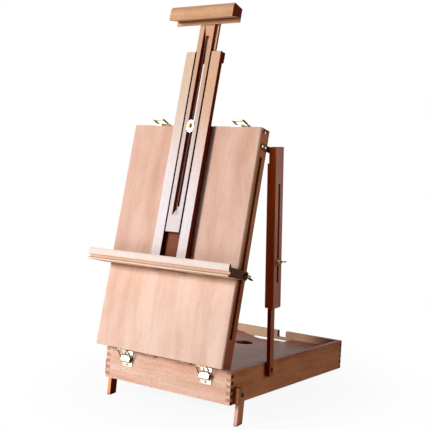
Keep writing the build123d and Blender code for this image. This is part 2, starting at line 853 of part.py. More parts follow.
def latch_screws():
    """Round screw heads: two by the seam and one at the far edge of a plate."""
    y = latch_plate_thickness + screw_height / 2
    far = latch_plate_length - screw_inset
    spots = ((-screw_side, screw_inset), (screw_side, screw_inset), (0, far))
    return [Pos(x, y, z) * Rot(90, 0, 0) * Cylinder(screw_radius, screw_height) for x, z in spots]


def build_latches():
    half_turn = 180
    front = tray * Pos(0, 0, tray_height) * Rot(half_turn, 0, 0)
    rear = lid * Pos(0, depth, 0)
    lid_front = lid * Rot(half_turn, 0, 0)
    tray_back = tray * Pos(0, depth, tray_height)
    lever = latch_lever()
    bail = latch_bail()
    front_bail = turned(bail, bail_axis_out, bail_axis_in, front_bail_lean)
    rear_lever = turned(lever, lever_axis_out, lever_axis_in, -rear_lever_open)
    rear_swing = rear_lever_open + half_turn - rear_bail_rise
    rear_bail = turned(bail, bail_axis_out, bail_axis_in, rear_swing)
    rear_bail = turned(rear_bail, lever_axis_out, lever_axis_in, -rear_lever_open)
    for row, frame, lever_piece, bail_piece in (
        ("front", front, lever, front_bail),
        ("rear", rear, rear_lever, rear_bail),
    ):
        plates = [Pos(x, 0, 0) * latch_plate() for x in latch_centres]
        parts[f"{row}_latch_plates"] = frame * group(plates)
        for side, x in zip(("left", "right"), latch_centres):
            parts[f"{row}_{side}_lever"] = frame * Pos(x, 0, 0) * lever_piece
            parts[f"{row}_{side}_bail"] = frame * Pos(x, 0, 0) * bail_piece
        screws = [Pos(x, 0, 0) * s for x in latch_centres for s in latch_screws()]
        parts[f"{row}_latch_screws"] = frame * group(screws)
    # the frames of the catches look at the same seam from its other side
    parts["lid_catches"] = lid_front * group([Pos(x, 0, 0) * latch_catch() for x in latch_centres])
    parts["tray_catches"] = tray_back * group([Pos(x, 0, 0) * latch_catch() for x in latch_centres])


build_tray()
build_palette()
build_legs()
build_lid()
build_hinges()
build_struts()
build_mast()
build_slider()
build_ledge()
build_latches()

# the whole easel is moved so that it stands centred over the origin
bounds = Compound(list(parts.values())).bounding_box()
centre = Pos(-(bounds.min.X + bounds.max.X) / 2, -(bounds.min.Y + bounds.max.Y) / 2, -bounds.min.Z)

os.makedirs("parts", exist_ok=True)
for name, shape in parts.items():
    export_step(centre * shape, f"parts/{name}.step")
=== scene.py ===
"""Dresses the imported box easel: grained wood, brass fittings, plywood panels, and a pale studio."""

import json
import logging
from dataclasses import dataclass
from enum import Enum
from math import atan2, cos, degrees, pi, radians, sin, tan
from typing import Sequence

import bmesh
import bpy
from mathutils import Matrix, Vector

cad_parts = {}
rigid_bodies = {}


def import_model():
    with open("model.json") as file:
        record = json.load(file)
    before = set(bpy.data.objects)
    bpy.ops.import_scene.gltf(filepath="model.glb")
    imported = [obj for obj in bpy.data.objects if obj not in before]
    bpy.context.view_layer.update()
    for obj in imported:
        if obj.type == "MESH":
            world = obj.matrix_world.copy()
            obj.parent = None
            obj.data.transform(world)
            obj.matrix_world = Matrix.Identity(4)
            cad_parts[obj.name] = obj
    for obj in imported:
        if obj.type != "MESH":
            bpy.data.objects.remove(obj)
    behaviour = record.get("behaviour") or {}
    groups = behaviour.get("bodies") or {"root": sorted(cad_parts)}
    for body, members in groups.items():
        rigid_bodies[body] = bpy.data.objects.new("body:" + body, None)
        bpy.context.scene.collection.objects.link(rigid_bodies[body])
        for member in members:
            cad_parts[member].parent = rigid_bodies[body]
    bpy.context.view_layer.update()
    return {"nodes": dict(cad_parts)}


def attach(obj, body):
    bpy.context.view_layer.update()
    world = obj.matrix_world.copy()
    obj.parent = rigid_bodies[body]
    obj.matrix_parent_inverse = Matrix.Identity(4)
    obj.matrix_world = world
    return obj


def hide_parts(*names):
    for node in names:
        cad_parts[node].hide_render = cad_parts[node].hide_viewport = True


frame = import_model()

log = logging.getLogger("easel")
STAGE = bpy.context.scene.collection.objects
MM = 0.001
CORE = 0.02  # the radius, in millimetres, that keeps a turned outline off its axis
SHARP = 38.0  # degrees between faces from which an edge stays sharp
Pair = tuple[float, float]
Point = tuple[float, float, float]


def srgb(code: str) -> tuple[float, float, float, float]:
    """Turns a six-digit colour code into linear red, green, blue and alpha.

    Args:
        code: The colour as six hexadecimal digits.

    Returns:
        The linear colour with an alpha of one.
    """
    parts = [int(code[i : i + 2], 16) / 255 for i in (0, 2, 4)]
    linear = [c / 12.92 if c <= 0.04045 else ((c + 0.055) / 1.055) ** 2.4 for c in parts]
    return (*linear, 1.0)


def move(x: float = 0.0, y: float = 0.0, z: float = 0.0) -> Matrix:
    """A shift that is given in millimetres."""
    return Matrix.Translation((x * MM, y * MM, z * MM))


# ---- where things are
@dataclass(frozen=True)
class Layout:
    """The sizes, in millimetres, that place the tray, the lid and the struts."""

    width: float = 320.0
    depth: float = 476.0
    tray_height: float = 66.0
    seam: float = 0.4
    hinge_offset: float = 4.2
    lean: float = 11.6
    foot_drop: float = 42.0
    leg_pivot: Pair = (31.0, 17.3)
    leg_lean: float = 4.8
    centre_back: float = -229.06
    strut_foot: Pair = (132.0, 51.7)
    strut_head: Pair = (439.5, -16.5)

    @property
    def tilt(self) -> float:
        """The slope of the tray on its legs, in degrees.

        Returns:
            The angle from level.
        """
        y, z = self.leg_pivot
        foot = y - (self.foot_drop + z) * tan(radians(self.leg_lean))
        return degrees(atan2(self.foot_drop, self.depth - foot))

    @property
    def tray(self) -> Matrix:
        """Tray frame: x across, y to the back, z up from the underside."""
        turn = Matrix.Rotation(radians(-self.tilt), 4, "X")
        return move(y=self.depth + self.centre_back) @ turn @ move(y=-self.depth)

    @property
    def lid(self) -> Matrix:
        """Lid frame: x across, y from the hinges to the free end, z out of the board.

        Returns:
            The way from the frame to the world.
        """
        hinge = move(y=-self.hinge_offset, z=self.tray_height + self.seam / 2)
        turn = Matrix.Rotation(radians(90 - self.lean), 4, "X")
        return self.tray @ hinge @ turn @ move(y=self.hinge_offset, z=self.seam / 2)

    @property
    def strut_ends(self) -> tuple[Vector, Vector]:
        """The foot pivot, and the way from it to the head pivot.

        Returns:
            Both in metres.
        """
        foot = self.tray @ Vector((0, self.strut_foot[0] * MM, self.strut_foot[1] * MM))
        head = self.lid @ Vector((0, self.strut_head[0] * MM, self.strut_head[1] * MM))
        return foot, head - foot

    @property
    def strut(self) -> Matrix:
        """Strut frame: origin on the foot pivot, y towards the head pivot."""
        foot, rise = self.strut_ends
        return Matrix.Translation(foot) @ Matrix.Rotation(atan2(rise.z, rise.y), 4, "X")

    @property
    def strut_span(self) -> float:
        """The distance between the two strut pivots, in millimetres."""
        return self.strut_ends[1].length / MM


LAYOUT = Layout()


class Run(Enum):
    """The direction that the grain of a piece runs in."""

    ACROSS = "across"
    TRAY = "tray depth"
    LID = "lid length"
    STRUT = "strut length"
    UPRIGHT = "upright"

    @property
    def axes(self) -> tuple[Vector, Vector, Vector]:
        """Unit vectors along the grain, across it, and out of the face.

        Returns:
            The three vectors.
        """
        tray, lid, strut = (m.to_3x3() for m in (LAYOUT.tray, LAYOUT.lid, LAYOUT.strut))
        x, y, z = Vector((1, 0, 0)), Vector((0, 1, 0)), Vector((0, 0, 1))
        table = {
            Run.ACROSS: (x, tray @ z, tray @ y),
            Run.TRAY: (tray @ y, tray @ z, x),
            Run.LID: (lid @ y, x, lid @ z),
            Run.STRUT: (strut @ y, strut @ z, x),
            Run.UPRIGHT: (tray @ z, tray @ y, x),
        }
        return table[self]


# ---- shader graphs
class Wire:
    """A shader socket that takes part in ordinary Python sums."""

    def __init__(self, graph: "Graph", socket: bpy.types.NodeSocket) -> None:
        """Remembers the graph and the socket."""
        self.graph = graph
        self.socket = socket

    def _maths(self, operation: str, left: "Feed", right: "Feed") -> "Wire":
        """Adds one Math node for two values."""
        return self.graph.node("ShaderNodeMath", {"operation": operation}, {0: left, 1: right})

    def __add__(self, other: "Feed") -> "Wire":
        """Self plus other."""
        return self._maths("ADD", self, other)

    __radd__ = __add__

    def __sub__(self, other: "Feed") -> "Wire":
        """Self minus other."""
        return self._maths("SUBTRACT", self, other)

    def __rsub__(self, other: "Feed") -> "Wire":
        """Other minus self."""
        return self._maths("SUBTRACT", other, self)

    def __mul__(self, other: "Feed") -> "Wire":
        """Self times other."""
        return self._maths("MULTIPLY", self, other)

    __rmul__ = __mul__

    def __abs__(self) -> "Wire":
        """The size of a value without its sign."""
        return self._maths("ABSOLUTE", self, 0.0)

    def fade(self, start: float, end: float) -> "Wire":
        """Runs smoothly from nought at start to one at end.

        Args:
            start: The value that gives nought.
            end: The value that gives one.

        Returns:
            The smoothed value.
        """
        feeds = {"Value": self, "From Min": start, "From Max": end}
        return self.graph.node("ShaderNodeMapRange", {"interpolation_type": "SMOOTHSTEP"}, feeds)

    def dot(self, axis: Vector) -> "Wire":
        """The length of a vector along an axis."""
        kind, way = {"operation": "DOT_PRODUCT"}, tuple(axis)
        return self.graph.node("ShaderNodeVectorMath", kind, {0: self, 1: way}, "Value")


Feed = Wire | float | tuple


class Graph:
    """A material's node tree with one method for each thing the finishes need."""

    def __init__(self, owner: bpy.types.Material | bpy.types.World) -> None:
        """Switches a material's or a world's nodes on and clears them.

        Args:
            owner: The material or world.
        """
        self.owner = owner
        owner.use_nodes = True
        self.tree = owner.node_tree
        self.tree.nodes.clear()

    def node(self, kind: str, settings: dict, feeds: dict, output: int | str = 0) -> Wire:
        """Adds a node: its settings first, then the values or links of its sockets.

        Args:
            kind: The node's type name.
            settings: Attributes of the node, with "stops" for a colour ramp.
            feeds: Socket names or numbers, each with a value or a wire.
            output: The socket that is handed back.

        Returns:
            The chosen output as a wire.
        """
        made = self.tree.nodes.new(kind)
        for key, value in settings.items():
            if key == "stops":
                self._stops(made.color_ramp, value)
            else:
                setattr(made, key, value)
        for key, value in feeds.items():
            if isinstance(value, Wire):
                self.tree.links.new(value.socket, made.inputs[key])
            else:
                made.inputs[key].default_value = value
        return Wire(self, made.outputs[output] if len(made.outputs) else made.inputs[0])

    def _stops(self, ramp: bpy.types.ColorRamp, stops: Sequence[tuple[float, str]]) -> None:
        """Sets a colour ramp's stops from places and colour codes.

        Args:
            ramp: The ramp.
            stops: The places with their colour codes.
        """
        while len(ramp.elements) < len(stops):
            ramp.elements.new(0.5)
        for element, (place, code) in zip(ramp.elements, stops):
            element.position = place
            element.color = srgb(code)

    def noise(self, where: Feed, detail: float, rough: float = 0.5, scale: float = 1.0) -> Wire:
        """A noise texture's value over a vector."""
        feeds = {"Vector": where, "Scale": scale, "Detail": detail, "Roughness": rough}
        return self.node("ShaderNodeTexNoise", {}, feeds)

    def mix(self, amount: Feed, first: Feed, second: Feed) -> Wire:
        """Blends two colours: nought gives the first and one the second."""
        settings = {"data_type": "RGBA"}
        return self.node("ShaderNodeMix", settings, {0: amount, 6: first, 7: second}, 2)

    def tint(self, amount: Feed, colour: Feed, code: str) -> Wire:
        """Multiplies a colour by another one, by an amount."""
        settings = {"data_type": "RGBA", "blend_type": "MULTIPLY"}
        return self.node("ShaderNodeMix", settings, {0: amount, 6: colour, 7: srgb(code)}, 2)

    def vector(self, x: Feed, y: Feed, z: Feed) -> Wire:
        """Joins three values into a vector."""
        return self.node("ShaderNodeCombineXYZ", {}, {0: x, 1: y, 2: z})

    def coords(self, kind: str) -> Wire:
        """One of the object's own coordinates, such as its normal."""
        return self.node("ShaderNodeTexCoord", {}, {}, kind)

    def open_sky(self, reach: float) -> Wire:
        """How open a spot is within a reach in millimetres: nought in a crease and one outside."""
        feeds = {"Distance": reach * MM}
        return self.node("ShaderNodeAmbientOcclusion", {"samples": 6}, feeds, "AO")

    def relief(self, height: Feed, strength: float, depth: float, edge: float) -> Wire:
        """Bumps on rounded edges.

        Args:
            height: What the bumps follow.
            strength: Their strength.
            depth: Their depth in metres.
            edge: The radius of the edges in millimetres.

        Returns:
            The normal.
        """
        soft = self.node("ShaderNodeBevel", {"samples": 4}, {"Radius": edge * MM})
        feeds = {"Strength": strength, "Distance": depth, "Height": height, "Normal": soft}
        return self.node("ShaderNodeBump", {}, feeds)

    def finish(self, shader: Wire) -> bpy.types.Material:
        """Links the surface shader to the output and hands the material back."""
        self.node("ShaderNodeOutputMaterial", {}, {"Surface": shader})
        return self.owner


# ---- finishes
@dataclass(frozen=True)
class Wood:
    """Oiled beech with straight grain, short flecks and darker end grain, and with painted light and
    shade: a darker colour in creases, a colour of its own for faces turned one way, and a tint along
    the lid.
    """

    name: str
    pale: str
    deep: str
    end: str
    run: Run
    shift: Point = (0.0, 0.0, 0.0)
    bands: float = 30.0
    rough: float = 0.5
    shine: float = 0.05
    edge: float = 0.7
    # The next four fields paint light and shade into the colour: a tint that grows along the lid, a
    # colour for faces turned along one axis, and a darker colour in creases within a reach.
    fade: tuple[float, float, str] | None = None
    painted_side_light: tuple[int, str] | None = None
    crease: str = "6A3A26"
    crease_shade_reach: float = 9.0
    contrast: float = 1.0
    flecks: float = 0.22

    def build(self) -> bpy.types.Material:
        """Builds the wood's material.

        Returns:
            The material.
        """
        g = Graph(bpy.data.materials.new(self.name))
        along, side, out = self.run.axes
        where = g.coords("Object")
        facing = g.coords("Normal")
        sx, sy, sz = self.shift
        a, s, o = where.dot(along) + sx, where.dot(side) + sy, where.dot(out) + sz
        wander = g.noise(g.vector(a * 5.0, s * 9.0, o * 9.0), 2.0)
        figure = g.vector(a * 2.2, s * self.bands + wander * 1.6, o * self.bands)
        figure = g.noise(figure, 4.0, 0.55)
        fibre = g.noise(g.vector(a * 22.0, s * 420.0, o * 420.0), 3.0, 0.6)
        mottle = g.noise(g.vector(a * 16.0, s * 26.0, o * 26.0), 3.0, 0.6)
        fleck = g.noise(g.vector(a * 130.0, s * 900.0, o * 900.0), 1.0).fade(0.60, 0.74)
        c = self.contrast
        tone = (figure - 0.5) * (1.5 * c) + (mottle - 0.5) * (0.7 * c)
        tone = tone + (fibre - 0.5) * (0.55 * c) + 0.42
        colour = g.mix(tone, srgb(self.pale), srgb(self.deep))
        colour = g.mix(fleck * self.flecks, colour, srgb(self.end))
        # Painted light and shade: faces turned along the chosen axis take a colour of their own,
        # darker and redder on the shaded faces of the rails, slider, strut, bar and legs, lighter on
        # the tops of the tray sides and warmer on the ledge's flat faces.
        if self.painted_side_light:
            axis, code = self.painted_side_light
            turned = abs(facing.dot(self.run.axes[axis])).fade(0.6, 0.85)
            dark = g.mix(tone * 0.5, srgb(code), srgb(self.end))
            colour = g.mix(turned, colour, dark)
        # Painted light and shade: a tint that grows along the lid's length, in either direction,
        # stands in for light that is uneven from bottom to top.
        if self.fade:
            low, high, code = self.fade
            height = where.dot(LAYOUT.lid.to_3x3() @ Vector((0, 1, 0)))
            colour = g.tint(height.fade(low, high), colour, code)
        # Painted shade: ambient occlusion multiplies the colour by the crease colour in creases and
        # next to nearby parts, where shade falls; on the ledge it is a warm tint in the cove.
        crease = 1.0 - g.open_sky(self.crease_shade_reach).fade(0.3, 0.92)
        colour = g.tint(crease, colour, self.crease)
        cut = abs(facing.dot(along)).fade(0.72, 0.9)
        rings = g.noise(g.vector(s * 150.0, o * 150.0, a * 30.0), 3.0, 0.6)
        colour = g.mix(cut, colour, g.mix(rings * 0.12, srgb(self.end), srgb(self.deep)))
        bump = g.relief(fibre + figure * 0.5, 0.18, 0.0004, self.edge)
        rough = self.rough + (fibre - 0.5) * 0.16 + cut * 0.18
        feeds = {"Base Color": colour, "Roughness": rough, "Normal": bump}
        feeds["Specular IOR Level"] = self.shine
        return g.finish(g.node("ShaderNodeBsdfPrincipled", {}, feeds))


@dataclass(frozen=True)
class Metal:
    """Plated metal with faint brush marks and a duller tarnish, with painted shade in hollows and on
    faces turned along x.
    """

    name: str
    bright: str
    dull: str
    rough: float = 0.22
    brush: float = 900.0
    slot: str = "brass"
    # the colour that paints shade on faces turned along x
    side: str = "5A4620"
    metallic: float = 1.0

    def build(self) -> bpy.types.Material:
        """Builds the metal's material.

        Returns:
            The material.
        """
        g = Graph(bpy.data.materials.new(self.name))
        where = g.coords("Object")
        x, y, z = (where.dot(Vector(axis)) for axis in ((1, 0, 0), (0, 1, 0), (0, 0, 1)))
        stain = g.noise(where, 3.0, 0.6, scale=160.0)
        marks = g.noise(g.vector(x * self.brush, y * 60.0, z * 60.0), 2.0)
        open_sky = g.open_sky(3.0)
        colour = g.mix(stain.fade(0.42, 0.70), srgb(self.bright), srgb(self.dull))
        # Painted shade: where ambient occlusion within 3 mm finds a hollow or a nearby part, the
        # colour is darkened towards dark brass.
        colour = g.tint(1.0 - open_sky.fade(0.2, 0.75), colour, "5A4A22")
        # Painted shade: faces turned along x are multiplied by the side colour, as if they faced away
        # from the light.
        shaded_side_mask = abs(g.coords("Normal").dot(Vector((1, 0, 0))))
        colour = g.tint(shaded_side_mask.fade(0.5, 0.85), colour, self.side)
        bump = g.relief(marks, 0.12, 0.0001, 0.25)
        rough = self.rough + (marks - 0.5) * 0.12 + stain * 0.1
        feeds = {
            "Base Color": colour, "Roughness": rough, "Normal": bump, "Metallic": self.metallic
        }
        return g.finish(g.node("ShaderNodeBsdfPrincipled", {}, feeds))


class Finishes:
    """Every finish of the easel, built once and shared."""

    PANEL = Wood(
        "board_ply", "F7D9C8", "E6BCA7", "A87852", Run.LID, bands=26.0, edge=0.9, shine=0.06,
        fade=(0.12, 0.50, "F7ECE7"), crease="5A1A08", crease_shade_reach=12.0, contrast=1.8, flecks=0.3,
    )
    # A darker, redder copy of the lid beech for the side walls, which face away from the key light:
    # painted shade, with more painted shade low down and in the slot.
    LID_SIDE = Wood(
        "lid_side_beech", "D49068", "A66646", "6E3420", Run.LID, (0.3, 0.1, 0.7), shine=0.02,
        crease="4A0802", crease_shade_reach=12.0, contrast=1.3, fade=(0.36, 0.14, "DCC0B8"),
    )
    LID_END = Wood("lid_end_beech", "E9C2A8", "D3A184", "6A2E18", Run.ACROSS, (0.9, 0.1, 0.2))
    CROSS = Wood(
        "crosspiece_beech", "9A5E46", "7C4634", "5A2410", Run.ACROSS, (0.5, 0.3, 0.1), shine=0.02
    )
    TRAY_FRONT = Wood(
        "tray_front_beech", "F4D2C0", "E2B096", "480E02", Run.ACROSS, (0.2, 0.6, 0.3), bands=60.0,
        shine=0.02, contrast=1.7, flecks=0.5,
    )
    # A darker, redder copy of the tray beech for the side walls, which face away from the key light:
    # painted shade, with their tops painted lighter.
    TRAY_SIDE = Wood(
        "tray_side_beech", "CC885C", "A05A36", "CE9A80", Run.TRAY, (0.4, 0.2, 0.8),
        bands=40.0, shine=0.03, contrast=1.5, painted_side_light=(1, "F4D2CA"),
    )
    TRAY_BACK = Wood(
        "tray_back_beech", "FBD4B0", "EAB894", "3A120A", Run.ACROSS, (0.7, 0.3, 0.5), bands=34.0,
        crease_shade_reach=5.0,
    )
    # A dark copy of the tray plywood with a wide crease reach: painted shade inside the box, under
    # the palette.
    TRAY_BASE = Wood(
        "tray_bottom_ply", "8E5E44", "704834", "4A2014", Run.TRAY, (0.1, 0.5, 0.9),
        bands=16.0, shine=0.0, crease="2A0E06", crease_shade_reach=80.0,
    )
    # One rail beech in two copies: the right rail's is darker and more orange towards the top and on
    # its side than the left rail's, painted shade.
    RAIL = Wood(
        "rail_beech", "FFF7FA", "F2E8EA", "7A3A24", Run.LID, (0.5, 0.9, 0.1), bands=60.0,
        fade=(0.33, 0.60, "EFC8A4"), painted_side_light=(1, "6E2008"), crease="8A3212", shine=0.01,
    )
    LEFT_RAIL = Wood(
        "left_rail_beech", "FFF8FC", "F6EEF0", "7A3A24", Run.LID, (0.5, 0.9, 0.1),
        bands=60.0, fade=(0.36, 0.62, "F3DCC0"), painted_side_light=(1, "7E2A0C"), crease="8A3A1A",
        crease_shade_reach=6.0, shine=0.01,
    )
    SLIDE = Wood(
        "slider_beech", "F6ECEE", "E8D8D8", "7A3A24", Run.LID, (0.8, 0.2, 0.6), bands=60.0,
        fade=(0.36, 0.66, "EAC8A4"), painted_side_light=(1, "9A3E12"), crease="B05A2A", crease_shade_reach=6.0,
        shine=0.01,
    )
    LEDGE = Wood(
        "ledge_beech", "FFF4F2", "F8E0CC", "4E1A0A", Run.ACROSS, (0.6, 0.4, 0.7), bands=50.0,
        shine=0.02, crease="E0B88E", painted_side_light=(1, "FACC9A"),
    )
    ARM = Wood(
        "ledge_arm_beech", "6A2812", "4E1A0A", "4A1A0C", Run.LID, (0.6, 0.1, 0.3), shine=0.0
    )
    CLAMP = Wood(
        "clamp_beech", "EBC09A", "D2966A", "5E1404", Run.ACROSS, (0.1, 0.8, 0.4), bands=70.0,
        shine=0.03, contrast=1.6,
    )
    STRUT = Wood(
        "strut_beech", "D49E8C", "B07466", "6B3A2A", Run.STRUT, (0.2, 0.9, 0.4), bands=50.0,
        shine=0.02, fade=(0.38, 0.22, "EAD6D0"), painted_side_light=(1, "D05A1A"), contrast=1.3,
    )
    BAR = Wood(
        "bar_beech", "B07050", "8A4A2E", "4A1A0C", Run.STRUT, (0.9, 0.4, 0.6), bands=50.0,
        shine=0.02, painted_side_light=(1, "8A1406"),
    )
    LEG = Wood(
        "leg_beech", "FCD2BC", "E2A890", "6A2E18", Run.UPRIGHT, (0.4, 0.5, 0.2), bands=50.0,
        painted_side_light=(2, "C88A66"),
    )
    # A more orange copy of the leg beech with dark red sides for the left leg, whose inner side lies
    # in shade: painted shade.
    SHADED_LEG = Wood(
        "shaded_leg_beech", "FFBA86", "E8986C", "6A2E18", Run.UPRIGHT, (0.1, 0.7, 0.4), bands=50.0,
        shine=0.0, painted_side_light=(2, "8A2C1C"),
    )
    # A darker copy of the leg beech for the stop blocks: their shade is painted into the colour.
    STOP = Wood(
        "stop_beech", "B47448", "8E5230", "4A1A0C", Run.UPRIGHT, (0.8, 0.1, 0.3), bands=50.0
    )
    PALETTE = Wood(
        "palette_varnish", "CA8674", "A26A62", "3A1E1A", Run.TRAY, (0.3, 0.7, 0.1),
        bands=20.0, rough=0.34, shine=0.06,
    )
    BRASS = Metal("brass_plate", "FBF8E8", "EEE8CC", 0.24)
    WIRE = Metal("bail_wire", "7A3E0A", "401C06", 0.5, side="C09070", metallic=0.2)
    CLAW = Metal("claw_brass", "F0E8BE", "C0A866", 0.35, side="A08850")
    COPPER = Metal("hinge_copper", "D2A288", "B07C64", 0.5, side="C8A08A", metallic=0.6)
    AGED = Metal("aged_brass", "C2A866", "4E3A1A", 0.3)
    DARK = Metal("dark_bronze", "4E3A2C", "241812", 0.42)
    BRONZE = Metal("bracket_bronze", "7A5226", "4A2C12", 0.5, side="D8B890", metallic=0.5)
    OLIVE = Metal("olive_brass", "8A6C26", "4E3A12", 0.45, side="A08850", metallic=0.6)
    GOLD = Metal("bright_brass", "FBE4A8", "D0A04A", 0.16, side="8A5A1E")
    SCREW = Metal("screw_brass", "FFF8E2", "EADCAA", 0.25, side="FFF8E2")
    STEEL = Metal("white_washer", "F2F2F0", "D8D8D6", 0.3, slot="steel", side="F2F2F0")

    def __init__(self) -> None:
        """Starts with nothing built."""
        self._built: dict[str, bpy.types.Material] = {}

    def get(self, finish: Wood | Metal) -> bpy.types.Material:
        """Hands back a finish's material and builds it the first time.

        Args:
            finish: The finish that is asked for.

        Returns:
            Its material.
        """
        if finish.name not in self._built:
            self._built[finish.name] = finish.build()
        return self._built[finish.name]


FINISHES = Finishes()


# ---- mesh building
def spot(axis: str, a: float, b: float, c: float) -> Vector:
    """A point from two coordinates across an axis, and one along it."""
    return Vector({"X": (c, a, b), "Y": (a, c, b), "Z": (a, b, c)}[axis])


def disc(inner: float, outer: float, low: float, high: float, cut: float) -> list[Pair]:
    """The profile of a disc whose outer edge is chamfered at its low end."""
    return [(inner, low), (outer - cut, low), (outer, low + cut), (outer, high), (inner, high)]


class Solid:
    """A fitting's mesh under construction, in millimetres, in the fitting's own frame."""

    def __init__(self) -> None:
        """Starts with no faces."""
        self.bm = bmesh.new()

    def _ring(self, points: Sequence[Vector]) -> list[bmesh.types.BMVert]:
        """Adds the points of one closed ring."""
        return [self.bm.verts.new(p) for p in points]

    def _skin(self, rings: Sequence[list], closed: bool = False) -> None:
        """Joins neighbouring rings with faces, and caps the ends of an open row.

        Args:
            rings: Rings with the same number of points.
            closed: True where the last ring meets the first.
        """
        count = len(rings[0])
        pairs = list(zip(rings, rings[1:])) + ([(rings[-1], rings[0])] if closed else [])
        for near, far in pairs:
            for i in range(count):
                j = (i + 1) % count
                self.bm.faces.new((near[i], near[j], far[j], far[i]))
        if not closed:
            self.bm.faces.new(list(reversed(rings[0])))
            self.bm.faces.new(rings[-1])

    def block(self, low: Point, high: Point, bevel: float = 0.25) -> "Solid":
        """A block between its lowest and its highest corner, with rounded edges."""
        (x0, y0, z0), (x1, y1, z1) = low, high
        return self.plate([(x0, y0), (x1, y0), (x1, y1), (x0, y1)], "Z", z0, z1, bevel)

    def plate(
        self, outline: Sequence[Pair], axis: str, start: float, end: float, bevel: float = 0.25
    ) -> "Solid":
        """An outline pulled straight along an axis, with rounded edges.

        Args:
            outline: Points in the two other axes, in the order of the alphabet.
            axis: The axis to pull along.
            start: Where the solid starts on the axis.
            end: Where it ends.
            bevel: The radius of its edges.

        Returns:
            The solid itself.
        """
        known = set(self.bm.edges)
        self._skin([self._ring([spot(axis, a, b, c) for a, b in outline]) for c in (start, end)])
        fresh = [e for e in self.bm.edges if e not in known]
        if bevel > 0:
            bmesh.ops.bevel(
                self.bm, geom=fresh, offset=bevel, segments=2, profile=0.6, affect="EDGES",
                clamp_overlap=True
            )
        return self

    def lathe(
        self, profile: Sequence[Pair], axis: str = "X", sides: int = 40, centre: Point = (0, 0, 0)
    ) -> "Solid":
        """A closed outline of (radius, height) points turned round an axis.

        Args:
            profile: The outline, from the inside round to the inside again.
            axis: The axis to turn round.
            sides: The number of sides.
            centre: The foot of the axis.

        Returns:
            The solid itself.
        """
        base = Vector(centre)
        rings = []
        for k in range(sides):
            c, s = cos(2 * pi * k / sides), sin(2 * pi * k / sides)
            if axis == "Y":  # keeps the turn right-handed
                c, s = s, c
            rings.append(self._ring([base + spot(axis, r * c, r * s, h) for r, h in profile]))
        self._skin(rings, closed=True)
        return self

    def wire(
        self, path: Sequence[Point], radius: float, bend: float = 1.4, sides: int = 14
    ) -> "Solid":
        """A round wire along a path whose corners are bent in arcs.

        Args:
            path: The corner points.
            radius: The radius of the wire.
            bend: The radius of each bend.
            sides: The number of sides of the wire.

        Returns:
            The solid itself.
        """
        corners = [Vector(p) for p in path]
        line = [corners[0]]
        for before, here, after in zip(corners, corners[1:], corners[2:]):
            first = here + (before - here).normalized() * bend
            last = here + (after - here).normalized() * bend
            for k in range(7):
                t = k / 6
                line.append(first.lerp(here, t).lerp(here.lerp(last, t), t))
        line.append(corners[-1])
        up = Vector((0.31, 0.55, 0.77))
        rings = []
        for i, point in enumerate(line):
            ahead = (line[min(i + 1, len(line) - 1)] - line[max(i - 1, 0)]).normalized()
            side = side - ahead * side.dot(ahead) if rings else ahead.cross(up)
            side.normalize()
            other = ahead.cross(side)
            turns = [2 * pi * k / sides for k in range(sides)]
            rings.append(
                self._ring([point + (side * cos(a) + other * sin(a)) * radius for a in turns])
            )
        self._skin(rings)
        return self

    def spin(self, angle: float, y: float = 0.0, z: float = 0.0) -> "Solid":
        """Turns what is there so far about an axis along X.

        Args:
            angle: The angle in degrees.
            y: Where the axis lies.
            z: How high it lies.

        Returns:
            The solid itself.
        """
        about, turn = Vector((0, y, z)), Matrix.Rotation(radians(angle), 3, "X")
        bmesh.ops.rotate(self.bm, cent=about, matrix=turn, verts=self.bm.verts[:])
        return self

    def shift(self, offset: Point) -> "Solid":
        """Moves what is there so far."""
        bmesh.ops.translate(self.bm, vec=Vector(offset), verts=self.bm.verts[:])
        return self

    def face(self, sign: int) -> "Solid":
        """Mirrors what is there so far across the middle plane where the sign is negative."""
        bmesh.ops.scale(self.bm, vec=(sign, 1, 1), verts=self.bm.verts[:])
        return self

    def put(self, name: str, home: Matrix, finish: Metal, body: str, *nodes: str) -> None:
        """Finishes the mesh, places it and lets it ride.

        Args:
            name: The piece's name.
            home: The frame that the fitting stands in.
            finish: The metal.
            body: The body that it rides on.
            nodes: The CAD nodes that it stands for.
        """
        bmesh.ops.transform(self.bm, matrix=home @ Matrix.Scale(MM, 4), verts=self.bm.verts[:])
        bmesh.ops.recalc_face_normals(self.bm, faces=self.bm.faces[:])
        mesh = bpy.data.meshes.new(name)
        self.bm.to_mesh(mesh)
        self.bm.free()
        mesh.shade_smooth()
        mesh.set_sharp_from_angle(angle=radians(SHARP))
        mesh.materials.append(FINISHES.get(finish))
        piece = bpy.data.objects.new(name, mesh)
        STAGE.link(piece)
        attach(piece, body)
        if nodes:
            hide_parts(*nodes)
        log.info("%s on %s", name, body)


# ---- fittings
SIDES = (("right", 1), ("left", -1))


@dataclass
class Screw:
    """A small domed screw head with a round recess, standing along an axis."""

    radius: float = 1.9
    height: float = 0.8

    def add(self, solid: Solid, seat: Point, axis: str = "Y") -> None:
        """Adds the head to a solid, with its foot on the seat.

        Args:
            solid: The mesh that takes the head.
            seat: The middle of the head's underside.
            axis: The direction that the head stands in.
        """
        r, h = self.radius, self.height
        pit = 0.32 * r
        head = [(CORE, 0.0), (r, 0.0), (r, 0.35 * h), (0.82 * r, 0.8 * h), (0.5 * r, h)]
        head += [(pit, h), (pit, 0.3 * h), (CORE, 0.3 * h)]
        solid.lathe(head, axis, 24, seat)


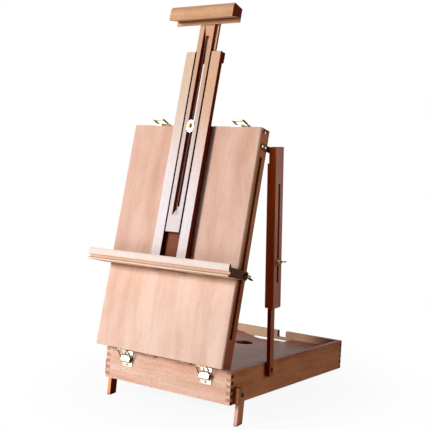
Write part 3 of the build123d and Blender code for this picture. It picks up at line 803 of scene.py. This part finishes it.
@dataclass
class Latches:
    """The four toggle latches: fixed plates, levers and wire bails."""

    centres: Pair = (-101.5, 101.5)
    plate_half: float = 13.5
    plate_start: float = 0.4
    plate_end: float = 34.0
    plate_thick: float = 1.2
    corner: float = 1.5
    # Dark ribs across the plate, at the lever's ends, paint the shadow lines there.
    rib: float = 0.7
    rib_inset: float = 1.0
    rib_places: Pair = (8.0, 24.4)
    screw_side: float = 6.0
    screw_inset: float = 4.6
    lever_half: float = 12.2
    lever_start: float = 9.0
    lever_end: float = 23.0
    lever_out: float = 9.4
    lever_nose: float = 5.6
    lever_slope: float = 16.7
    sheet: float = 1.0
    lift: float = 0.7
    bead: float = 1.0
    ear: Pair = (8.0, 9.0)
    ear_half: float = 1.3
    ear_gap: float = 0.3
    ear_slot: float = 14.0
    pivot: Pair = (4.0, 11.2)
    pin: float = 0.9
    hook: Pair = (4.6, 18.5)
    wire: float = 1.15
    bail_half: float = 13.4
    bail_length: float = 28.0
    bail_bend: float = 1.6
    sleeve: float = 1.75
    sleeve_end: float = 6.0
    bar: float = 1.4
    claw_half: float = 12.0
    claw: float = 4.0
    claw_sheet: float = 0.45
    front_lean: float = 31.0
    rear_open: float = 147.0
    rear_swing: float = 315.0

    def _spans(self, reach: float) -> tuple[Pair, ...]:
        """The three stretches across the lever that stay clear of the ears."""
        near, far = self.ear[0] - self.ear_gap, self.ear[1] + self.ear_gap
        return (-reach, -far), (-near, near), (far, reach)

    def _plate(self) -> Solid:
        """The fixed plate with its ears and pin.

        Returns:
            The plate.
        """
        w, a, b, t = self.plate_half, self.plate_start, self.plate_end, self.plate_thick
        r, e = self.corner, self.ear_half
        solid = Solid()
        outline = [(-w + r, a), (w - r, a), (w, a + r), (w, b - r)]
        outline += [(w - r, b), (-w + r, b), (-w, b - r), (-w, a + r)]
        solid.plate(outline, "Y", 0.0, t, 0.3)
        y, z = self.pivot
        for sign in (-1, 1):
            x0, x1 = sorted((sign * self.ear[0], sign * self.ear[1]))
            solid.block((x0, t, z - e), (x1, y + e, z + e), 0.3)
        solid.wire([(-self.lever_half, y, z), (self.lever_half, y, z)], self.pin)
        return solid

    def _screws(self) -> Solid:
        """The three screws of a plate and two dark ribs across it at the lever's ends, which stand in
        for the shadow lines there: painted shade.

        Returns:
            The screws and ribs.
        """
        w, b, t = self.plate_half, self.plate_end, self.plate_thick
        solid = Solid()
        reach = w - self.rib_inset
        for z in self.rib_places:
            solid.wire([(-reach, t - 0.1, z), (reach, t - 0.1, z)], self.rib)
        screw = Screw()
        for x in (-self.screw_side, self.screw_side):
            screw.add(solid, (x, t, self.screw_inset))
        screw.add(solid, (0.0, t, b - self.screw_inset))
        return solid

    def _lever(self) -> Solid:
        """The lever: a bent sheet with two cheeks and rolled edges.

        Returns:
            The lever.
        """
        w, s = self.lever_half, self.sheet
        y0, n, o = self.plate_thick + self.lift, self.lever_nose, self.lever_out
        z0, zs, z1, zc = self.lever_start, self.lever_slope, self.lever_end, self.ear_slot
        yc = n + (o - n) * (zc - z0) / (zs - z0)
        solid = Solid()
        nose = [(n - s, z0), (n, z0), (yc, zc), (yc - s, zc)]
        for x0, x1 in self._spans(w):
            solid.plate(nose, "X", x0, x1, 0.2)
        face = [(yc - s, zc), (yc, zc), (o, zs), (o, z1), (o - s, z1), (o - s, zs)]
        solid.plate(face, "X", -w, w, 0.3)
        solid.plate([(y0, z1 - s), (o, z1 - s), (o, z1), (y0, z1)], "X", -w, w, 0.3)
        ya, za = self.pivot
        cheek = [(y0, zc), (yc, zc), (o, zs), (o, z1), (y0, z1)]
        front = [(n - s, z0), (n, z0), (yc, zc), (yc - 2 * s, zc)]
        web = [(y0, za + 1.6), (y0, zc), (ya + 2.2, zc), (ya + 1.4, za + 1.6)]
        for x0, x1 in ((-w, -w + s), (w - s, w)):
            for outline in (cheek, front, web):
                solid.plate(outline, "X", x0, x1, 0.2)
        return solid

    def _beads(self) -> Solid:
        """The rolled beads along the lever's nose, clear of the ears, and along its free edge, in a
        darker brass that is partly painted shade for the shadow lines there.

        Returns:
            The beads.
        """
        reach = self.lever_half - 0.2
        solid = Solid()
        y, z = self.pivot[0] + 1.05, self.lever_start + 0.85
        for x0, x1 in self._spans(reach):
            solid.wire([(x0, y, z), (x1, y, z)], self.bead)
        y, z = self.lever_out - 0.6, self.lever_end - 0.7
        solid.wire([(-reach, y, z), (reach, y, z)], self.bead)
        return solid

    def _bail(self, sleeved: bool) -> Solid:
        """The bail's bent wire, with thicker far arms on the rear latches.

        Args:
            sleeved: True where sleeves thicken the arms beyond the lever.

        Returns:
            The bail before it is swung.
        """
        y, z = self.hook
        tip, w = z - self.bail_length, self.bail_half
        inner = self.lever_half - self.sheet - 0.6
        solid = Solid()
        path = [(-inner, y, z), (-w, y, z), (-w, y, tip), (w, y, tip), (w, y, z), (inner, y, z)]
        solid.wire(path, self.wire, self.bail_bend)
        if sleeved:
            for x in (-w, w):
                solid.wire([(x, y, tip + 1.0), (x, y, self.sleeve_end)], self.sleeve)
        return solid

    def _claw(self) -> Solid:
        """The strip that is rolled round the bail's far bar.

        Returns:
            The strip.
        """
        y, z = self.hook
        tip = z - self.bail_length
        solid = Solid()
        bar, h = self.bar, self.claw_half
        roll = [radians(-150 + 30 * k) for k in range(9)]
        outer, inner = (
            [(y + r * cos(a), tip + r * sin(a)) for a in roll]
            for r in (bar, bar - self.claw_sheet)
        )
        solid.plate(outer + inner[::-1], "X", -h, h, 0.0)
        face = y + bar
        end = tip - bar + self.claw
        strip = [(face - 0.3, tip - 0.4), (face + 0.35, tip - 0.4), (face + 0.9, end - 1.0)]
        strip += [(face + 0.5, end), (face - 0.1, end - 0.6)]
        solid.plate(strip, "X", -h, h, 0.15)
        return solid

    def build(self) -> None:
        """Builds and places the four latches."""
        front = LAYOUT.tray @ move(z=LAYOUT.tray_height) @ Matrix.Rotation(pi, 4, "X")
        rear = LAYOUT.lid @ move(y=LAYOUT.depth)
        for row, home, body in (("front", front, "base"), ("rear", rear, "lid")):
            nodes = (f"{row}_latch_plates", f"{row}_latch_screws")
            for side, x in zip(("left", "right"), self.centres):
                at = home @ move(x)
                self._plate().put(f"{row}_{side}_latch_plate", at, Finishes.BRASS, body, *nodes)
                # The screws, with the dark ribs that paint the shadow lines at the lever's ends.
                self._screws().put(f"{row}_{side}_latch_screws", at, Finishes.OLIVE, body, *nodes)
                is_front = row == "front"
                lever, beads = self._lever(), self._beads()
                bail, claw = self._bail(not is_front), self._claw()
                for solid in (bail, claw):
                    solid.spin(self.front_lean if is_front else self.rear_swing, *self.hook)
                if not is_front:
                    for solid in (lever, beads, bail, claw):
                        solid.spin(-self.rear_open, *self.pivot)
                name = f"{row}_{side}_lever"
                # Painted shade: the rear levers take the duller claw brass, so that they don't shine
                # like the front levers, which face the key light.
                sheet = Finishes.BRASS if is_front else Finishes.CLAW
                lever.put(f"{name}_sheet", at, sheet, name, name)
                # The beads' darker brass is partly painted shade along the lever's edges.
                beads.put(f"{name}_beads", at, Finishes.OLIVE, name, name)
                name = f"{row}_{side}_bail"
                wire = Finishes.OLIVE if is_front else Finishes.WIRE
                bail.put(f"{name}_wire", at, wire, name, name)
                claw.put(f"{name}_claw", at, Finishes.CLAW, name, name)


@dataclass
class WingNuts:
    """The four wing nuts with their washers and threaded bolts."""

    hub: float = 5.0
    hub_top: float = 4.1
    height: float = 6.5
    bore: float = 3.3
    span: float = 27.0
    thick: float = 2.2
    wing_height: float = 9.0
    bolt: float = 3.0
    thread: float = 0.28
    pitch: float = 1.0
    washer: float = 10.0
    washer_thick: float = 1.4
    play: float = 0.06
    head: float = 7.0
    head_height: float = 3.0
    chamfer: float = 0.6
    ledge_turn: float = 62.0
    strut_turn: float = 90.0
    ledge_place: Point = (168.0, 182.6, 16.5)
    ledge_end: float = 4.5
    ledge_head: float = 149.7
    strut_x: float = 181.6
    strut_inner: float = 164.0
    clamp_from_head: float = 222.0

    def _nut(self, turn: float, seat: float) -> Solid:
        """A wing nut along X, on a washer.

        Args:
            turn: How far its wings are turned, in degrees.
            seat: Where the washer lies.

        Returns:
            The solid.
        """
        r, t, h, b = self.hub, self.hub_top, self.height, self.bore
        reach, top = self.span / 2, self.wing_height
        solid = Solid()
        solid.lathe(
            [(b, 0.0), (r, 0.0), (r, 1.0), (t, 2.2), (t - 0.3, h - 0.5), (t - 0.8, h), (b, h)]
        )
        wing = [
            (r * 0.7, 1.5), (reach * 0.5, 1.9), (reach * 0.72, 3.1), (reach * 0.9, 5.8),
            (reach, top - 0.2), (reach * 0.99, top + 1.6), (reach * 0.93, top + 2.7),
            (reach * 0.84, top + 2.9), (reach * 0.72, top + 2.1), (reach * 0.58, top + 0.7),
            (r * 0.98, h - 0.4), (r * 0.72, h - 0.9),
        ]
        half = self.thick / 2
        for sign in (1, -1):
            solid.plate([(c, sign * a) for a, c in wing], "Z", -half, half, 0.65)
        return solid.spin(turn).shift((seat + self.washer_thick, 0, 0))

    def _bolt(
        self, start: float, seat: float, end: float, washer: float, head: float | None
    ) -> Solid:
        """A bolt along X with a washer at its seat, a thread and, where given, a flat head.

        Args:
            start: Where the bolt starts.
            seat: Where the washer lies.
            end: Where the thread ends.
            washer: The radius of the washer.
            head: The radius of the head, or None where the bolt is let into the wood.

        Returns:
            The solid.
        """
        r, t, cut = self.bolt, self.washer_thick, self.chamfer
        root = r - self.thread
        thread = [(CORE, start), (r, start), (r, seat + t)]
        x = seat + t
        while x + self.pitch < end - cut:
            thread += [(root, x + self.pitch / 2), (r, x + self.pitch)]
            x += self.pitch
        thread += [(root, end - cut), (root - 0.5, end), (CORE, end)]
        solid = Solid().lathe(thread, sides=28)
        w, top = washer, seat + t - self.play
        solid.lathe(
            [(r, seat), (w - 0.3, seat), (w, seat + 0.3), (w, top - 0.4), (w - 0.5, top), (r, top)]
        )
        if head:
            solid.lathe(disc(CORE, head, start - self.head_height, start, cut))
        return solid

    def build(self) -> None:
        """Builds and places the nuts and their bolts."""
        x, v, t = self.ledge_place
        home = LAYOUT.lid @ move(y=v, z=t)
        clamp_home = LAYOUT.strut @ move(y=LAYOUT.strut_span - self.clamp_from_head)
        for side, sign in SIDES:
            nut = self._nut(self.ledge_turn, x)
            end = x + self.washer_thick + self.height + self.ledge_end
            bolt = self._bolt(self.ledge_head, x, end, self.washer, self.head)
            clamp_nut = self._nut(self.strut_turn, self.strut_x)
            end = self.strut_x + self.washer_thick + self.height
            clamp = self._bolt(self.strut_inner, self.strut_x, end, self.washer * 0.8, None)
            for solid in (nut, bolt, clamp_nut, clamp):
                solid.face(sign)
            name = f"{side}_ledge_nut"
            nut.put(f"{side}_ledge_wing_nut", home, Finishes.DARK, name, name)
            bolt.put(f"{side}_ledge_bolt", home, Finishes.AGED, "carriage", "slot_bolts")
            name = f"{side}_strut_nut"
            clamp_nut.put(f"{side}_strut_wing_nut", clamp_home, Finishes.AGED, name, name)
            bar, node = f"{side}_bar", f"{side}_strut_bolt"
            clamp.put(f"{side}_strut_clamp", clamp_home, Finishes.AGED, bar, node)


@dataclass
class MastFittings:
    """The bolt, oblong washer and domed nut that clamp the slider."""

    place_v: float = 471.0
    seat: float = 50.3
    back: float = 11.0
    bolt: float = 3.0
    tail: float = 8.0
    tail_thick: float = 3.0
    washer_half: float = 8.1
    washer_long: float = 13.4
    washer_slack: float = 0.5
    washer_thick: float = 1.2
    nut: float = 5.4
    nut_height: float = 6.2
    nut_rim: float = 1.7
    dome_inset: float = 1.5
    bolt_top: float = 4.6
    chamfer: float = 0.6

    def build(self) -> None:
        """Builds and places the four pieces."""
        home = LAYOUT.lid @ move(y=self.place_v)
        s, b, cut = self.seat, self.bolt, self.chamfer
        top = s + self.washer_thick
        end = top + self.bolt_top
        bolt = Solid().lathe(disc(CORE, b, -self.back, end, cut), "Z", 28)
        bolt.lathe(disc(b, self.tail, -self.tail_thick, 0.0, cut), "Z")
        bolt.put("mast_clamp_bolt", home, Finishes.AGED, "lid", "mast_bolt")
        w, straight = self.washer_half, self.washer_long - self.washer_half
        steps = [pi * k / 14 for k in range(15)]
        x = self.washer_slack
        outline = [(x + w * cos(a), straight + w * sin(a)) for a in steps]
        outline += [(x - w * cos(a), -straight - w * sin(a)) for a in steps]
        washer = Solid().plate(outline, "Z", s, top, 0.35)
        washer.put("mast_oblong_washer", home, Finishes.STEEL, "lid", "mast_washer")
        n, h, bore, rim = self.nut, self.nut_height, b + 0.3, top + self.nut_rim
        flange = [
            (bore, top), (n - 0.3, top), (n, top + 0.4), (n, rim - 0.4), (n - 0.4, rim), (bore, rim)
        ]
        ring = Solid().lathe(flange, "Z", 36)
        # Partly painted shade: the flange's dark bronze gives the dark ring that shows round the
        # bright dome.
        ring.put("mast_nut_flange", home, Finishes.DARK, "mast_nut", "mast_nut")
        wide, roof = n - self.dome_inset, end + 0.3
        dome = [(bore, rim), (wide, rim)]
        for k in range(1, 8):
            a = radians(90 * k / 8)
            dome.append((wide * cos(a) + CORE, rim + (h - self.nut_rim) * sin(a)))
        dome += [(CORE, top + h), (CORE, roof), (bore, roof)]
        nut = Solid().lathe(dome, "Z", 36)
        nut.put("mast_dome_nut", home, Finishes.GOLD, "mast_nut", "mast_nut")


@dataclass
class SideFittings:
    """The bolts of the legs and struts, and the screws of the strut brackets."""

    bolt: float = 3.0
    leg_head: Point = (168.6, 4.7, 1.2)
    foot_head: Point = (172.3, 4.4, 1.6)
    foot_spacer: Pair = (163.9, 4.4)
    socket: float = 2.4
    bracket_screws: tuple[Pair, ...] = ((439.5, 20.0), (439.5, 8.5))
    bracket_face: float = 162.1
    edge_screw: Pair = (468.5, 14.5)

    def _headed(self, head: Point, spacer: Pair | None) -> Solid:
        """A bolt from the box's side with a low head that has a round socket.

        Args:
            head: Where the head starts, its radius and its height.
            spacer: Where the spacer ends and its radius, if there is one.

        Returns:
            The solid.
        """
        x, r, h = head
        side, s = LAYOUT.width / 2, self.socket
        solid = Solid()
        profile = [(CORE, side), (self.bolt, side), (self.bolt, x), (r - 0.2, x), (r, x + 0.3)]
        profile += [(r - 0.4, x + h - 0.2), (r - 0.9, x + h), (s, x + h), (s - 0.2, x + 0.2)]
        profile.append((CORE, x + 0.2))
        solid.lathe(profile)
        if spacer:
            end, radius = spacer
            solid.lathe([(self.bolt, side), (radius, side), (radius, end), (self.bolt, end)])
        return solid

    def build(self) -> None:
        """Builds and places the bolts and screws."""
        y, z = LAYOUT.leg_pivot
        leg_home = LAYOUT.tray @ move(y=y, z=z)
        small = Screw(2.6, 0.9)
        for side, sign in SIDES:
            leg = self._headed(self.leg_head, None)
            foot = self._headed(self.foot_head, self.foot_spacer)
            screws = Solid()
            for v, t in self.bracket_screws:
                small.add(screws, (self.bracket_face, v, t), "X")
            v, t = self.edge_screw
            Screw(1.7, 0.5).add(screws, (LAYOUT.width / 2, v, t), "X")
            for solid in (leg, foot, screws):
                solid.face(sign)
            leg.put(f"{side}_leg_bolt", leg_home, Finishes.DARK, "base", "leg_bolts")
            foot.put(
                f"{side}_strut_foot_bolt", LAYOUT.strut, Finishes.DARK, "base", "strut_foot_bolts"
            )
            screws.put(f"{side}_bracket_screws", LAYOUT.lid, Finishes.SCREW, "lid")


# ---- carried-over solids
@dataclass
class Woodwork:
    """The solids that stay, with their finishes."""

    looks: tuple[tuple[Wood | Metal, str], ...] = (
        (Finishes.TRAY_FRONT, "tray_front_wall"),
        (Finishes.TRAY_BACK, "tray_back_wall palette_strips tray_dividers"),
        (Finishes.TRAY_SIDE, "tray_right_wall tray_left_wall"),
        (Finishes.TRAY_BASE, "tray_bottom"),
        (Finishes.PALETTE, "palette"),
        (Finishes.STOP, "leg_stops"),
        (Finishes.LEG, "right_leg"),
        (Finishes.SHADED_LEG, "left_leg"),
        (Finishes.LID_END, "lid_hinged_end lid_free_end"),
        (Finishes.LID_SIDE, "lid_right_wall lid_left_wall"),
        (Finishes.PANEL, "lid_panel"),
        (Finishes.BAR, "right_strut_bar left_strut_bar"),
        (Finishes.STRUT, "right_strut_channel left_strut_channel"),
        (Finishes.RAIL, "right_rail"),
        (Finishes.LEFT_RAIL, "left_rail"),
        (Finishes.CROSS, "upper_crosspiece lower_crosspiece"),
        (Finishes.SLIDE, "slider"),
        (Finishes.CLAMP, "top_clamp"),
        (Finishes.LEDGE, "ledge"),
        (Finishes.ARM, "ledge_arms"),
        (Finishes.COPPER, "hinge_tray_leaves hinge_lid_leaves hinge_pins"),
        (Finishes.BRONZE, "strut_brackets"),
        (Finishes.SCREW, "right_strut_pin left_strut_pin"),
    )

    def dress(self) -> None:
        """Gives each carried-over solid its finish, and the rest brass."""
        finishes = {name: look for look, names in self.looks for name in names.split()}
        for name, node in frame["nodes"].items():
            finish = finishes.get(name, Finishes.BRASS)
            node.data.materials.clear()
            node.data.materials.append(FINISHES.get(finish))
            log.info("%s: %s", name, finish.name)


# ---- the studio
@dataclass(frozen=True)
class Lamp:
    """A disk-shaped lamp aimed at a point of the easel."""

    name: str
    place: Point
    size: float
    power: float
    tint: Point
    aim: Point = (0.0, 0.0, 350.0)

    def place_it(self) -> None:
        """Creates the lamp and turns it to its aim."""
        data = bpy.data.lights.new(self.name, "AREA")
        data.shape, data.size = "DISK", self.size * MM
        data.energy, data.color = self.power, self.tint
        lamp = bpy.data.objects.new(self.name, data)
        lamp.location = [c * MM for c in self.place]
        aim = Vector([c * MM for c in self.aim]) - lamp.location
        lamp.rotation_euler = aim.to_track_quat("-Z", "Y").to_euler()
        STAGE.link(lamp)
        log.info("lamp %s", self.name)


@dataclass
class Studio:
    """The camera, the lamps, the floor and the white surroundings."""

    lens: float = 71.565
    eye: Point = (1050.4, -1322.3 + LAYOUT.centre_back, 614.7)
    pitch: float = -7.08
    yaw: float = 34.92
    lamps: tuple[Lamp, ...] = (
        Lamp("key", (-1700.0, -2950.0, 1700.0), 700.0, 84.0, (1.0, 0.98, 0.97)),
        Lamp(
            "bounce", (-600.0, -1500.0, 150.0), 900.0, 6.5, (1.0, 0.96, 0.95), (0.0, -100.0, 150.0)
        ),
        Lamp("side", (2600.0, 700.0, 1300.0), 1600.0, 18.0, (1.0, 0.97, 0.96)),
    )
    sensor: float = 36.0
    clip: Pair = (0.05, 60.0)
    fill: float = 0.03
    floor_reach: float = 8.0
    floor_drop: float = 0.2
    shadow_share: float = 0.08
    shadow_fade: Pair = (0.15, 0.5)

    def shoot(self) -> None:
        """Places the camera, the lamps, the floor and the surroundings."""
        self._camera()
        for lamp in self.lamps:
            lamp.place_it()
        self._world()
        self._floor()

    def _camera(self) -> None:
        """Creates the camera and makes it the scene's own."""
        data = bpy.data.cameras.new("camera")
        data.lens, data.sensor_width = self.lens, self.sensor
        data.clip_start, data.clip_end = self.clip
        camera = bpy.data.objects.new("camera", data)
        camera.location = [c * MM for c in self.eye]
        camera.rotation_euler = (radians(90 + self.pitch), 0, radians(self.yaw))
        STAGE.link(camera)
        bpy.context.scene.camera = camera

    @staticmethod
    def _seen(g: Graph) -> Wire:
        """One for rays from the camera and for mirror rays, and nought for the rest."""
        rays = [g.node("ShaderNodeLightPath", {}, {}, f"Is {k} Ray") for k in ("Camera", "Glossy")]
        return g.node("ShaderNodeMath", {"operation": "MAXIMUM"}, dict(enumerate(rays)))

    def _world(self) -> None:
        """White for the camera and for mirrors, and a weak warm fill for the rest."""
        world = bpy.data.worlds.new("surroundings")
        bpy.context.scene.world = world
        g = Graph(world)
        white = g.node("ShaderNodeBackground", {}, {"Color": srgb("FFFFFF"), "Strength": 1.0})
        warm = (1.0, 0.78, 0.66, 1.0)
        soft = g.node("ShaderNodeBackground", {}, {"Color": warm, "Strength": self.fill})
        both = g.node("ShaderNodeMixShader", {}, {0: self._seen(g), 1: soft, 2: white})
        g.node("ShaderNodeOutputWorld", {}, {"Surface": both})

    def _floor(self) -> None:
        """A wide white floor that keeps a soft shadow close to the easel."""
        mesh = bpy.data.meshes.new("floor")
        r = self.floor_reach
        mesh.from_pydata([(-r, -r, 0), (r, -r, 0), (r, r, 0), (-r, r, 0)], [], [(0, 1, 2, 3)])
        floor = bpy.data.objects.new("floor", mesh)
        STAGE.link(floor)
        g = Graph(bpy.data.materials.new("studio_floor"))
        where = g.coords("Object")
        grain = g.noise(where, 2.0, scale=90.0)
        white = g.mix(grain, srgb("F4F3F2"), srgb("EFEEEC"))
        paper = g.node("ShaderNodeBsdfPrincipled", {}, {"Base Color": white, "Roughness": 0.9})
        glow = g.node("ShaderNodeEmission", {}, {"Color": srgb("FFFFFF"), "Strength": 1.0})
        distance = g.node("ShaderNodeVectorMath", {"operation": "LENGTH"}, {0: where}, "Value")
        far = distance.fade(*self.shadow_fade)
        share = self._seen(g) * (1.0 - (1.0 - far) * self.shadow_share)
        mesh.materials.append(
            g.finish(g.node("ShaderNodeMixShader", {}, {0: share, 1: paper, 2: glow}))
        )
        floor.location.z = -self.floor_drop * MM


def main() -> None:
    """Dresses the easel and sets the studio."""
    logging.basicConfig(level=logging.INFO, format="%(name)s %(message)s")
    bpy.context.scene.view_settings.view_transform = "Standard"
    Woodwork().dress()
    for fittings in (Latches(), WingNuts(), MastFittings(), SideFittings()):
        fittings.build()
    Studio().shoot()


if __name__ == "__main__":
    main()
